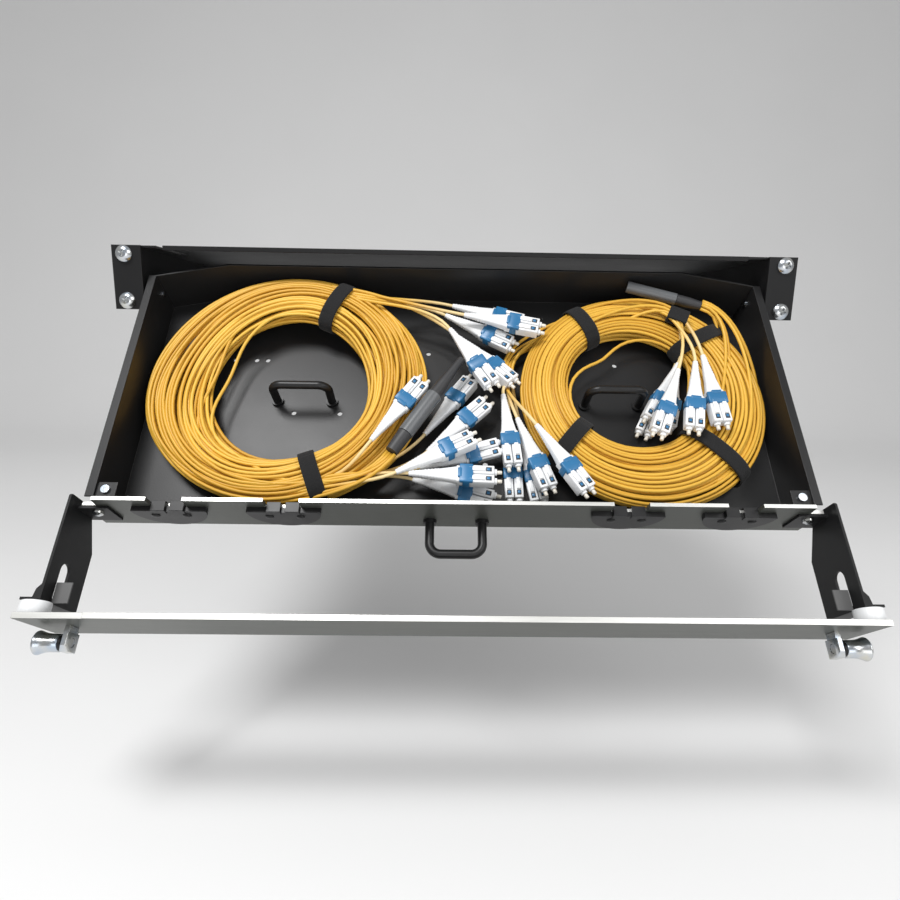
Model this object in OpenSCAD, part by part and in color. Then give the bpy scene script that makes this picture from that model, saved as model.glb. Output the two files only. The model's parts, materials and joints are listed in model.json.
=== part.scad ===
// Fibre termination and slack drawer, one rack unit high, for a 19 inch rack.
// It is drawn out of its chassis and tilted down, with two coils of cable in the tray.
// X is to the right, Y goes into the rack and Z is up. The origin is the centre of
// the four ear screws, on the plane where the ears meet the rack.

/* [Chassis] */
// Width over the two ears
ear_span = 482.6; // [480:0.1:484]
// Height of the ears, one rack unit
ear_h = 43.7; // [43.2:0.1:44]
// Depth of the chassis behind the rack plane
chassis_d = 242; // [238:1:280]
// Width over the chassis side walls
chassis_w = 448; // [447:0.5:449]
// Thickness of the chassis sheet
chassis_t = 2; // [1.5:0.1:2]

/* [Tray] */
// Angle of the tray below level
tilt = 52; // [0:1:52]
// Width over the tray side walls
tray_w = 432; // [431:0.5:432]
// Depth of the tray, from its square rear corners to its front plate
tray_d = 170; // [165:1:172]
// Depth of the tapered rear end behind those corners
tray_taper = 12; // [8:1:12]
// Height of the tray rim above the top of its floor
rim_h = 34; // [32:1:34]
// Thickness of the tray sheet
sheet_t = 1.5; // [1:0.1:1.5]
// Height of the tray front plate
front_h = 39.4; // [36:0.2:39.4]
// Thickness of the tray front plate
front_t = 2.4; // [2:0.1:3]

/* [Cover] */
// Width of the outer cover
cover_w = 475; // [470:1:478]
// Height of the outer cover
cover_h = 43.7; // [40:0.1:44]
// Thickness of the outer cover
cover_t = 3.4; // [3:0.1:4]
// Length of the side arms ahead of the tray front plate
arm_len = 58.2; // [57:0.1:60]
// Distance of the spacers from the middle
spacer_x = 232.5; // [231:0.1:233]
// Distance of the latch blocks from the middle
latch_x = 213.3; // [212:0.1:214]

/* [Cables] */
// Height of a bundle of cable
bundle_h = 21; // [18:1:22]

/* [Hidden] */

black = [0.05, 0.05, 0.055];
floor_grey = [0.2, 0.2, 0.21];
silver = [0.72, 0.73, 0.71];
zinc = [0.75, 0.78, 0.8];
yellow = [0.93, 0.7, 0.16];

// rack holes of one unit
screw_x = 232.56;
screw_z = 15.875;
screw_r = 3;
screw_clearance_r = 4.2;
washer_face = -chassis_t;

// the hinge of the tray, and the tray's own frame around it: the hinge is the origin,
// the tray runs towards -Y and its rim is rim_z above the hinge
pivot_y = 32.4;
pivot_z = -12;
pivot_r = 3;
rim_z = 30;
rear_y = -5.3;
floor_z = rim_z - rim_h;
front_y = rear_y - tray_d;
face_y = front_y - front_t;
wall_x = tray_w / 2;
flange_w = 3.8;
ear_y = face_y - arm_len;
cover_y = ear_y - 7.6;
mid_z = 12;
gap = 0.3;

// slides
member_x = 216.8;
member_t = 3.2;
member_h = 15;
key_h = 8;
key_t = 1.1;
member_d = 70;
rail_front = 10;
brace_d = 12;
rivet_y = [40, 130, 220];

module in_tray() {
    translate([0, pivot_y, pivot_z])
        rotate([tilt, 0, 0])
            children();
}

// a place in the tray: s across, q forward of the rear corners, h above the rim
function spot(s, q, h) = [s, rear_y - q, rim_z + h];

module box(low, high) {
    translate(low)
        cube(high - low);
}

// a cylinder along X or Y
module rod_x(from, to, y, z, r) {
    translate([from, y, z])
        rotate([0, 90, 0])
            cylinder(h = to - from, r = r, $fn = 40);
}

module rod_y(x, from, to, z, r) {
    translate([x, from, z])
        rotate([-90, 0, 0])
            cylinder(h = to - from, r = r, $fn = 40);
}

// a round solid turned about an axis along -Y, from a list of [radius, distance] pairs
module turned_forward(x, y, z, outline) {
    translate([x, y, z])
        rotate([90, 0, 0])
            rotate_extrude($fn = 48)
                polygon(concat([[0, outline[0][1]]], outline, [[0, outline[len(outline) - 1][1]]]));
}

module mirrored(side) {
    mirror([side < 0 ? 1 : 0, 0, 0])
        children();
}

// chassis ---------------------------------------------------------------------------

module chassis_top_cover() {
    top = ear_h / 2;
    inside = chassis_w / 2 - chassis_t - 0.2;
    flange_x = 206;
    slot = [5, 45];
    color(black) difference() {
        union() {
            box([-inside, 0, top - sheet_t], [inside, chassis_d, top]);
            box([-flange_x, -sheet_t, top - 3.2], [flange_x, 0, top]);
        }
        box([-flange_x - slot[0], -1, top - 5], [-flange_x, slot[1], top + 1]);
    }
}

module chassis_side(side) {
    wall = chassis_w / 2;
    inner = wall - chassis_t - 1;
    top = ear_h / 2;
    color(black) mirrored(side) difference() {
        union() {
            box([wall - chassis_t, 0, -top], [wall, chassis_d, top]);
            box([inner, -chassis_t, -top], [ear_span / 2, 0, top]);
            box([wall - chassis_t, -chassis_t, -top], [wall, 0, top]);
        }
        for (z = [-screw_z, screw_z])
            rod_y(screw_x, -chassis_t - 1, 1, z, screw_clearance_r);
        for (y = rivet_y)
            rod_x(wall - chassis_t - 1, wall + 1, y, pivot_z, 2);
    }
}

module chassis_side_left() { chassis_side(-1); }
module chassis_side_right() { chassis_side(1); }

module chassis_rear_brace() {
    inside = chassis_w / 2 - chassis_t - 0.2;
    top = ear_h / 2 - sheet_t - 0.2;
    color(black) {
        box([-inside, chassis_d - sheet_t, -top], [inside, chassis_d, top]);
        box([-inside, chassis_d - brace_d, -top - sheet_t], [inside, chassis_d, -top]);
    }
}

// a shallow channel that faces the tray, with lips above and below the key of the member
module slide_rail(side) {
    outside = chassis_w / 2 - chassis_t - 0.1;
    web = 0.6;
    reach = key_h / 2 + gap;
    lip = 1.5;
    lip_x = member_x + member_t + gap;
    back = chassis_d - brace_d - 2;
    color(zinc) mirrored(side) difference() {
        union() {
            box([outside - web, rail_front, pivot_z - reach - lip],
                [outside, back, pivot_z + reach + lip]);
            for (z = [pivot_z - reach - lip, pivot_z + reach])
                box([lip_x, rail_front, z], [outside, back, z + lip]);
        }
        for (y = rivet_y)
            rod_x(outside - web - 1, outside + 1, y, pivot_z, 2);
    }
}

module slide_rail_left() { slide_rail(-1); }
module slide_rail_right() { slide_rail(1); }

module rail_rivets() {
    outside = chassis_w / 2;
    color(zinc) for (side = [-1, 1])
        mirrored(side)
            for (y = rivet_y) {
                rod_x(outside + 0.02, outside + 1.2, y, pivot_z, 3.2);
                rod_x(outside - chassis_t - 0.7, outside + 0.5, y, pivot_z, 1.98);
            }
}

// pan head screws with a cross recess, their shanks standing behind the ears as studs
module ear_screws() {
    head_r = 5.7;
    head_h = 3.4;
    shank = 14;
    color(zinc) for (x = [-screw_x, screw_x], z = [-screw_z, screw_z])
        difference() {
            union() {
                turned_forward(x, washer_face, z,
                    [[head_r, 0], [head_r, 1], [head_r - 1, 2.3], [head_r - 2.9, head_h]]);
                rod_y(x, washer_face, shank, z, screw_r);
            }
            for (turn = [0, 90])
                translate([x, washer_face - head_h, z])
                    rotate([0, turn + 20, 0])
                        cube([5, 3.4, 1.1], center = true);
        }
}

// carriage --------------------------------------------------------------------------

module slide_member(side) {
    front = pivot_y - 6;
    outer = member_x + member_t;
    color(zinc) mirrored(side) difference() {
        union() {
            box([member_x, front, pivot_z - member_h / 2],
                [outer, front + member_d, pivot_z + member_h / 2]);
            box([outer - 0.1, front, pivot_z - key_h / 2],
                [outer + key_t, front + member_d, pivot_z + key_h / 2]);
        }
        for (hole = [[0, pivot_r], [30, 2.5]])
            rod_x(member_x - 1, outer + 2, pivot_y + hole[0], pivot_z, hole[1]);
    }
}

module slide_member_left() { slide_member(-1); }
module slide_member_right() { slide_member(1); }

module carriage_tie() {
    back = pivot_y - 6 + member_d;
    reach = member_x - 0.02;
    color(black) {
        box([-reach, back - sheet_t, pivot_z - member_h / 2 + 1], [reach, back, pivot_z + 5]);
        for (side = [-1, 1])
            mirrored(side)
                box([reach - sheet_t, back - 12, pivot_z - member_h / 2 + 1], [reach, back, pivot_z + 5]);
    }
}

module pivot_pins() {
    color(zinc) for (side = [-1, 1])
        mirrored(side) {
            rod_x(wall_x - sheet_t - 1.2, member_x + member_t + 0.2, pivot_y, pivot_z, pivot_r - 0.02);
            rod_x(wall_x - sheet_t - 2.4, wall_x - sheet_t - 0.2, pivot_y, pivot_z, pivot_r + 1);
        }
}

// tray ------------------------------------------------------------------------------

// plan of the tray floor, grown by g, with its rear corners tapered
function floor_plan(g) = let(w = wall_x + g, back = rear_y + tray_taper + g, nose = 50)
    [[-w, front_y], [w, front_y], [w, rear_y + g / 2], [w - nose, back],
     [-w + nose, back], [-w, rear_y + g / 2]];

// top of the small gussets in the front corners
gusset_z = rim_z - 2;

// small holes in the tray floor, as [across, forward]
floor_holes = [[-160, 48], [-145, 48], [-137, 48], [-66, 48], [-113, 92], [-81, 92],
    [117, 48], [65, 6], [-20, 40], [20, 130]];

module tray_pan() {
    rim_x = wall_x + flange_w;
    hinge_lug = 10;
    color(floor_grey) in_tray() {
        difference() {
            union() {
                translate([0, 0, floor_z - sheet_t])
                    linear_extrude(rim_z - floor_z + sheet_t)
                        polygon(floor_plan(0));
                for (side = [-1, 1])
                    mirrored(side) {
                        box([wall_x - sheet_t, front_y, rim_z - sheet_t], [rim_x, rear_y, rim_z]);
                        box([wall_x - sheet_t, rear_y - 4, floor_z - sheet_t], [wall_x, hinge_lug, 10]);
                    }
            }
            translate([0, 0, floor_z])
                linear_extrude(rim_h + 1)
                    polygon(concat([[-wall_x + sheet_t, front_y - 1], [wall_x - sheet_t, front_y - 1]],
                        [for (i = [2:5]) floor_plan(-sheet_t)[i]]));
            for (place = floor_holes)
                translate([place[0], rear_y - place[1], floor_z - sheet_t - 1])
                    cylinder(h = sheet_t + 2, r = 1.75, $fn = 24);
            for (side = [-1, 1])
                rod_x(side * wall_x - 3, side * wall_x + 3, 0, 0, pivot_r + 0.2);
        }
        for (side = [-1, 1])
            mirrored(side)
                box([wall_x - 13, front_y, gusset_z - 1.2], [wall_x - sheet_t + 0.5, front_y + 10, gusset_z]);
    }
}

// where the cables pass the front plate
entry_x = [-173.1, -104.4, 104.4, 173.1];
entry_w = 21.4;
entry_z = rim_z - 10.5;
insert_z = rim_z - 9;
insert_t = 3.2;
rivet_at = [9.5, -6.5];
arm_screw = [218, rim_z - 16];

module tray_front() {
    end_x = 224.8;
    step_x = 216.5;
    step = 9;
    low = rim_z - front_h;
    color(silver) in_tray()
        translate([0, front_y, 0])
            rotate([90, 0, 0])
                linear_extrude(front_t)
                    difference() {
                        polygon([[-end_x, low], [end_x, low], [end_x, rim_z - step],
                            [step_x, rim_z - step], [step_x - 1, rim_z], [-step_x + 1, rim_z],
                            [-step_x, rim_z - step], [-end_x, rim_z - step]]);
                        for (x = entry_x) {
                            translate([x - entry_w / 2, entry_z])
                                square([entry_w, rim_z - entry_z + 1]);
                            for (side = [-1, 1])
                                translate([x + side * rivet_at[0], insert_z + rivet_at[1]])
                                    circle(r = 1.6, $fn = 24);
                        }
                        for (side = [-1, 1]) {
                            translate([side * arm_screw[0], arm_screw[1]])
                                circle(r = 1.8, $fn = 24);
                            translate([side * 16.5, 2])
                                circle(r = 2, $fn = 24);
                        }
                    }
}

// a half round moulded insert below an entry, with two flaps that stand up in it over a slit
module grommet(x) {
    half = 22.4;
    flap_at = 5.6;
    flap_w = 8.4;
    flap_top = insert_z + 2.4;
    proud = 0.5;
    color(black) in_tray() difference() {
        union() {
            translate([x, face_y - 0.02, insert_z])
                rotate([90, 0, 0])
                    linear_extrude(insert_t)
                        intersection() {
                            circle(r = half, $fn = 96);
                            translate([-half, -half])
                                square([2 * half, half]);
                        }
            for (side = [-1, 1])
                translate([x + side * flap_at, 0, 0]) {
                    box([-flap_w / 2, face_y - insert_t - proud, insert_z - 3], [flap_w / 2, face_y - 0.02, flap_top]);
                    box([-flap_w / 2, face_y - 1, entry_z + 0.4], [flap_w / 2, front_y + 0.3, flap_top]);
                }
        }
        for (side = [-1, 1])
            rod_y(x + side * rivet_at[0], face_y - 10, face_y + 5, insert_z + rivet_at[1], 1.6);
    }
}

module grommet_outer_left() { grommet(entry_x[0]); }
module grommet_inner_left() { grommet(entry_x[1]); }
module grommet_inner_right() { grommet(entry_x[2]); }
module grommet_outer_right() { grommet(entry_x[3]); }

module grommet_rivets() {
    color(black) in_tray()
        for (x = entry_x, side = [-1, 1]) {
            rod_y(x + side * rivet_at[0], face_y - insert_t - 0.6, front_y, insert_z + rivet_at[1], 1.58);
            turned_forward(x + side * rivet_at[0], face_y - insert_t - 0.04, insert_z + rivet_at[1],
                [[2.6, 0], [2.4, 0.7], [1.3, 1.2]]);
        }
}

// a bent round bar on two feet: a half hoop with straight legs, lying in its own XZ plane
module bar_handle(half, reach, r) {
    bend = 7;
    for (side = [-1, 1])
        mirrored(side) {
            translate([half, 0, 0])
                cylinder(h = reach - bend, r = r, $fn = 28);
            translate([half - bend, 0, reach - bend])
                rotate([90, 0, 0])
                    rotate_extrude(angle = 90, $fn = 56)
                        translate([bend, 0])
                            circle(r = r, $fn = 28);
            translate([half, 0, 0])
                cylinder(h = 2.2, r = r + 1.4, $fn = 28);
        }
    rod_x(bend - half, half - bend, 0, reach, r);
}

module front_handle() {
    color(black) in_tray()
        translate([0, face_y - 0.02, 2])
            rotate([90, 0, 0])
                bar_handle(16.5, 22, 2.9);
}

module coil_handle(s, q) {
    color(black) in_tray()
        translate([s, rear_y - q, floor_z + 0.02])
            bar_handle(19, 22, 2.8);
}

module coil_handle_left() { coil_handle(-106, 83); }
module coil_handle_right() { coil_handle(110, 83); }

module handle_screws() {
    head_h = 1.6;
    color(zinc) in_tray() {
        for (x = [-16.5, 16.5]) {
            rod_y(x, face_y + 0.02, front_y + 1, 2, 1.98);
            rod_y(x, front_y + 0.02, front_y + head_h, 2, 3.6);
        }
        for (s = [-106, 110], side = [-1, 1])
            translate([s + side * 19, rear_y - 83, floor_z - sheet_t - head_h])
                cylinder(h = head_h - 0.02, r = 3.4, $fn = 28);
    }
}

// the arched cable exit in each arm
exit_z = 14;
exit_y = ear_y + 19.4;
exit_r = 4.7;
arm_x = 229;
arm_t = 1.5;

// an arm: a flange on the front plate, a wall with an arched cable exit, and an ear
module side_arm(side) {
    rear = rear_y - 168;
    foot = face_y - 0.1;
    top = rim_z - 1;
    low = rim_z - front_h + 1;
    color(black) in_tray() mirrored(side) difference() {
        union() {
            box([209.5, foot - arm_t, rim_z - 30], [arm_x, foot, rim_z - 9.5]);
            translate([arm_x - arm_t, 0, 0])
                rotate([90, 0, 90])
                    linear_extrude(arm_t)
                        polygon([[rear, low + 14], [rear, top - 1], [rear - 1, top],
                            [ear_y, top], [ear_y, low], [rear - 26, low]]);
            box([arm_x - arm_t, ear_y, low], [238.7, ear_y + arm_t, top]);
            translate([arm_x, ear_y, top - 6])
                linear_extrude(6)
                    polygon([[-0.5, 0.5], [3.4, 0.5], [2.4, 6], [-0.5, 9.5]]);
        }
        rod_x(arm_x - 5, arm_x + 5, exit_y, exit_z, exit_r);
        box([arm_x - 5, ear_y + 3, exit_z - exit_r], [arm_x + 5, exit_y, exit_z + exit_r]);
        rod_y(arm_screw[0], foot - 5, foot + 5, arm_screw[1], 1.8);
    }
}

module side_arm_left() { side_arm(-1); }
module side_arm_right() { side_arm(1); }

// a tab bent in from the top of the cable exit, over its front part
module exit_tab(side) {
    inner = arm_x - arm_t;
    top = exit_z + exit_r;
    color("gray") in_tray() mirrored(side)
        box([inner - 9.1, ear_y + 0.3, top - 1.2], [inner - 0.02, ear_y + 12.1, top]);
}

module exit_tab_left() { exit_tab(-1); }
module exit_tab_right() { exit_tab(1); }

module arm_screws() {
    color(zinc) in_tray() for (side = [-1, 1])
        mirrored(side) {
            rod_y(arm_screw[0], face_y - arm_t - 0.5, front_y, arm_screw[1], 1.78);
            turned_forward(arm_screw[0], face_y - arm_t - 0.12, arm_screw[1], [[3.4, 0], [3.2, 1.2], [1.8, 2.2]]);
        }
}

// rivets low on the walls at the rear corners, and screws on the gussets at the front ones
module corner_screws() {
    color(zinc) in_tray() for (side = [-1, 1])
        mirrored(side) {
            rod_x(wall_x - sheet_t - 1, wall_x - sheet_t - 0.02, rear_y - 4, rim_z - 15, 2.4);
            translate([wall_x - 7, front_y + 5, gusset_z + 0.02])
                cylinder(h = 1.6, r = 2.6, $fn = 28);
        }
}

module spacer(side) {
    color("white") in_tray() mirrored(side)
        rod_y(spacer_x, cover_y + 0.02, ear_y - 0.02, rim_z - 7, 7.9);
}

module spacer_left() { spacer(-1); }
module spacer_right() { spacer(1); }

// cables ----------------------------------------------------------------------------

floor_gap = 2;
bundle_z = floor_z + floor_gap + bundle_h / 2;

// a coil: centre and half sizes of its outer oval, then of its inner one, as [across, forward],
// and how far its rear is raised
left_coil = [[-115, 79.5], [96, 88], [-113.7, 81], [52.5, 53], 8];
right_coil = [[128.5, 83], [84.5, 84], [122.5, 77], [45, 45], 0];

// places on those ovals at angle a, which runs from +X towards the rear
function outer_at(c, a) = [c[0][0] + c[1][0] * cos(a), rear_y - c[0][1] + c[1][1] * sin(a)];
function inner_at(c, a) = [c[2][0] + c[3][0] * cos(a), rear_y - c[2][1] + c[3][1] * sin(a)];
function bundle_at(c, a) = (outer_at(c, a) + inner_at(c, a)) / 2;
function height_at(c, a) = bundle_z + c[4] * pow(max(0, sin(a)), 2);

// a closed ring of cable, oval in plan and in section
module coil(c) {
    turns = 64;
    sides = 16;
    ring = [for (i = [0:turns - 1], j = [0:sides - 1])
        let(a = 360 * i / turns, b = 360 * j / sides,
            p = bundle_at(c, a) + (outer_at(c, a) - inner_at(c, a)) / 2 * cos(b))
        [p[0], p[1], height_at(c, a) + bundle_h / 2 * sin(b)]];
    quads = [for (i = [0:turns - 1], j = [0:sides - 1])
        let(i2 = (i + 1) % turns, j2 = (j + 1) % sides)
        [i * sides + j, i * sides + j2, i2 * sides + j2, i2 * sides + j]];
    polyhedron(ring, quads);
}

module coil_left() { color(yellow) in_tray() coil(left_coil); }
module coil_right() { color(yellow) in_tray() coil(right_coil); }

// a strap round the bundle of coil c, at angle a on its plan
module strap(c, a) {
    width = 10.5;
    side_slack = 1.9;
    top_slack = 0.8;
    t = 1.1;
    across = (outer_at(c, a) - inner_at(c, a)) / 2;
    half = norm(across) + side_slack;
    high = bundle_h / 2 + top_slack;
    translate([bundle_at(c, a)[0], bundle_at(c, a)[1], height_at(c, a)])
        rotate([0, 0, atan2(across[1], across[0])])
            rotate([90, 0, 0])
                translate([0, 0, -width / 2])
                    linear_extrude(width)
                        difference() {
                            oval(half + t, high + t);
                            oval(half, high);
                        }
}

module oval(a, b) {
    polygon([for (i = [0:35]) [a * cos(10 * i), b * sin(10 * i)]]);
}

module straps_left() {
    color(black) in_tray() for (a = [67, -72])
        strap(left_coil, a);
}

module straps_right() {
    color(black) in_tray() for (a = [122, 41, -47, -141])
        strap(right_coil, a);
}

// the tie that gathers the hanging legs above the right coil
tie_at = [158, 24];

module fanout_tie() {
    color(black) in_tray()
        translate(spot(tie_at[0], tie_at[1], -6.6))
            rotate([0, 0, -115])
                difference() {
                    cube([11, 14, 6.4], center = true);
                    cube([12, 11, 3.6], center = true);
                }
}

// a round solid of stages [start radius, end radius, length] laid at s, q, h with a heading
module laid_round(s, q, h, heading, stages) {
    translate(spot(s, q, h))
        rotate([0, 90, -heading])
            rotate_extrude($fn = 40)
                polygon(concat([[0, 0]],
                    [for (i = [0:len(stages) - 1], end = [0, 1]) [stages[i][end], along(stages, i + end)]],
                    [[0, along(stages, len(stages))]]));
}

function along(stages, n) = n == 0 ? 0 : stages[n - 1][2] + along(stages, n - 1);

// the grey tube where a trunk cable becomes single legs, and the black boots at its ends
module furcation_tube_left() {
    color("gray") in_tray()
        laid_round(-33, 122, -6, -58, [[5.2, 5.2, 34]]);
}

module furcation_boots_left() {
    color(black) in_tray() {
        laid_round(-33.2, 122.3, -6, 122, [[4.9, 4.2, 15]]);
        laid_round(-14.8, 92.9, -6, -58, [[4.6, 4, 12], [4, 2.4, 22]]);
    }
}

module furcation_tube_right() {
    color("gray") in_tray()
        laid_round(126, -5.2, -9, 18, [[4.2, 4.2, 36]]);
}

module furcation_boots_right() {
    color(black) in_tray()
        laid_round(160.6, 6, -9, 18, [[3.8, 3.8, 9], [3.8, 3, 9]]);
}

// duplex connectors: [across, forward, height below the rim, heading] of the tip
pile = [[62, 38, -6, 12], [53, 25, -17, 16], [43, 46, -17, 29], [26, 88, -6, 58], [42, 78, -17, 45],
    [-21, 80, -5.5, -55], [13, 66, -24, -54], [23, 89, -17, -44], [14, 123, -6, -27],
    [32, 124, -17, -17], [28, 151, -8, 2], [28, 161, -24, 15],
    [37, 143, -17, 85], [38, 162, -29, 89], [59.5, 159, -16, 71], [82, 164, -5.5, 58],
    [55, 163, -29, 80]];
hanging = [[128, 107, -18, 120], [129, 122, -8, 113], [152, 121, -5, 101], [172, 117, -4.6, 87],
    [126, 112, -28, 119], [142, 109, -24, 107]];

boot_len = 28;
clip_len = 11;
body_len = 14;
ferrule_len = 5;
connector_len = boot_len + clip_len + body_len + ferrule_len;

module connector(c) {
    wide = 12.6;
    tall = 9;
    translate(spot(c[0], c[1], c[2]))
        rotate([0, 0, -c[3]]) {
            box([-ferrule_len - body_len, -wide / 2, -tall / 2], [-ferrule_len, wide / 2, tall / 2]);
            box([-connector_len + boot_len, -wide / 2 + 0.6, -tall / 2 + 0.6],
                [-ferrule_len - body_len, wide / 2 - 0.6, tall / 2]);
            for (y = [-3.1, 3.1])
                translate([-ferrule_len, y, 0])
                    rotate([0, 90, 0])
                        cylinder(h = ferrule_len, r = 1.4, $fn = 20);
            translate([-connector_len, 0, 0])
                rotate([0, 90, 0])
                    cylinder(h = boot_len, r1 = 1.8, r2 = 4.3, $fn = 24);
        }
}

module connectors_pile() {
    color("white") in_tray() for (c = pile)
        connector(c);
}

module connectors_hanging() {
    color("white") in_tray() for (c = hanging)
        connector(c);
}

// the loose legs between the coils and the connectors, as flat fans
fan_t = 3.6;
upper_fan = [[-60, 1], [-60, 7.5], [-12, 34], [-10, 4]];
lower_fan = [[-81, 148], [-81, 158], [-50, 153], [-58, 144]];
inner_fan = [[32, 58], [39, 58], [42, 82], [32, 82]];
tie_fan = [[153, 33], [165, 33], [168, 38], [156, 38]];

module fan(outline, h) {
    translate([0, 0, rim_z + h])
        linear_extrude(fan_t)
            polygon([for (p = outline) [p[0], rear_y - p[1]]]);
}

module fanout_legs() {
    color(yellow) in_tray() {
        fan(upper_fan, -9.4);
        fan(lower_fan, -9.4);
        fan(inner_fan, -31);
        fan(tie_fan, -8.9);
    }
}

// cover -----------------------------------------------------------------------------

module cover_panel() {
    half = cover_w / 2;
    low = mid_z - cover_h / 2;
    color(silver) in_tray() {
        box([-half, cover_y - cover_t, low], [half, cover_y, low + cover_h - 0.5]);
        box([-200, cover_y - cover_t, low], [200, cover_y, low + cover_h]);
    }
}

// the pin of each latch lies across the cover: a block on the cover with a bore, a black
// collar, and a flared knob at the outer end that is pulled outwards
block_w = 4.6;
pin_y = cover_y - cover_t - 9;
pin_r = 2.4;
bore_r = 2.6;
knob_from = latch_x + 6.1;

module latch_block(side) {
    face = cover_y - cover_t;
    rear = face - 3.8;
    front = face - 14;
    tall = 5.5;
    color(zinc) in_tray() mirrored(side) difference() {
        union() {
            box([latch_x + 0.8, rear - 1, mid_z - 4.5], [latch_x + block_w - 0.8, face - 0.02, mid_z + 4.5]);
            hull() {
                box([latch_x, front, mid_z - tall], [latch_x + block_w, rear, mid_z + tall - 3]);
                box([latch_x + 0.6, front + 3, mid_z - tall], [latch_x + block_w - 1.2, rear, mid_z + tall]);
            }
        }
        rod_x(latch_x - 1, latch_x + block_w + 1, pin_y, mid_z, bore_r);
    }
}

module latch_block_left() { latch_block(-1); }
module latch_block_right() { latch_block(1); }

module latch_collars() {
    color(black) in_tray() for (side = [-1, 1])
        mirrored(side) difference() {
            rod_x(latch_x + block_w + 0.02, knob_from - 0.02, pin_y, mid_z, 4.4);
            rod_x(latch_x, knob_from + 1, pin_y, mid_z, bore_r);
        }
}

// the knob's outline as [radius, distance]
knob_outline = [[5, 0], [5, 5.5], [5.3, 8], [5.9, 10.2], [6.5, 11.6], [6.6, 12.4], [6, 13.1]];

module latch_knob(side) {
    last = len(knob_outline) - 1;
    color(zinc) in_tray() mirrored(side) {
        translate([knob_from, pin_y, mid_z])
            rotate([0, 90, 0])
                rotate_extrude($fn = 48)
                    polygon(concat([[0, 0]], knob_outline, [[0, knob_outline[last][1]]]));
        rod_x(latch_x + 0.3, knob_from + 1, pin_y, mid_z, pin_r);
    }
}

module latch_knob_left() { latch_knob(-1); }
module latch_knob_right() { latch_knob(1); }

chassis_top_cover();
chassis_side_left();
chassis_side_right();
chassis_rear_brace();
slide_rail_left();
slide_rail_right();
rail_rivets();
ear_screws();
slide_member_left();
slide_member_right();
carriage_tie();
pivot_pins();
tray_pan();
tray_front();
front_handle();
coil_handle_left();
coil_handle_right();
handle_screws();
grommet_outer_left();
grommet_inner_left();
grommet_inner_right();
grommet_outer_right();
grommet_rivets();
side_arm_left();
side_arm_right();
exit_tab_left();
exit_tab_right();
arm_screws();
corner_screws();
spacer_left();
spacer_right();
coil_left();
coil_right();
straps_left();
straps_right();
fanout_tie();
furcation_tube_left();
furcation_boots_left();
furcation_tube_right();
furcation_boots_right();
fanout_legs();
connectors_pile();
connectors_hanging();
cover_panel();
latch_knob_left();
latch_knob_right();
latch_block_left();
latch_block_right();
latch_collars();
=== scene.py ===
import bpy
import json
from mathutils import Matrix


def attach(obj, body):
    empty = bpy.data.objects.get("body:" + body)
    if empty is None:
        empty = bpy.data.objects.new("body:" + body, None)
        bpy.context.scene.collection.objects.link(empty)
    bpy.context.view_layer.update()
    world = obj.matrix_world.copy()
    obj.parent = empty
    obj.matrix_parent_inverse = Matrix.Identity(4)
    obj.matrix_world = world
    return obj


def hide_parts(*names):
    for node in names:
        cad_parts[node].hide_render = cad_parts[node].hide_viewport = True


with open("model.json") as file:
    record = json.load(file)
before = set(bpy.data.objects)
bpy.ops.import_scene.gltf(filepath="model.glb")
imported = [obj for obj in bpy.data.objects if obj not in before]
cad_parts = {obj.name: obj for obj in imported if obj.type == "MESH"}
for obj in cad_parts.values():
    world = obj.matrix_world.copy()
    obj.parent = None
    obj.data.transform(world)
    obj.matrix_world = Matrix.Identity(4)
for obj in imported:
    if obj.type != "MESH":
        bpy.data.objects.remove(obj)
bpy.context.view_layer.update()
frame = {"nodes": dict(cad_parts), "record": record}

import json
import math
import bpy
import bmesh
import numpy as np
from mathutils import Matrix, Vector

print("frame loaded", len(frame["nodes"]), "nodes")

mm = 0.001
joints = {joint["name"]: joint for joint in frame["record"]["behaviour"]["joints"]}
hinge = joints["tray_tilt"]
hingePlace = np.array(hinge["pos_m"])
tiltAngle = math.radians(hinge["range_deg"][1])

# the tray's own frame: s across, q forward of its square rear corners, h above its rim
traySettings = {"rearGap": 5.3, "rimAboveHinge": 30, "floorBelowRim": 34}


def spots(places):
    # tray places in mm, any shape of array with a last axis of 3, as row places in metres:
    # turned about X by the tilt and moved to the hinge
    places = np.asarray(places, float)
    y = -(places[..., 1] + traySettings["rearGap"])
    z = places[..., 2] + traySettings["rimAboveHinge"]
    c, s = math.cos(tiltAngle), math.sin(tiltAngle)
    turned = np.stack([places[..., 0], y * c - z * s, y * s + z * c], axis=-1)
    return turned * mm + hingePlace


def headings(directions):
    # tray directions as row directions
    directions = np.asarray(directions, float)
    return (spots(directions) - spots(np.zeros(3))) / mm


cameraSettings = {"place": (-0.0110, -0.4505, -0.0318), "down": 11.18, "turn": -1.0, "roll": 0.96,
                  "lens": 24.52, "sensor": 36}


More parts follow.
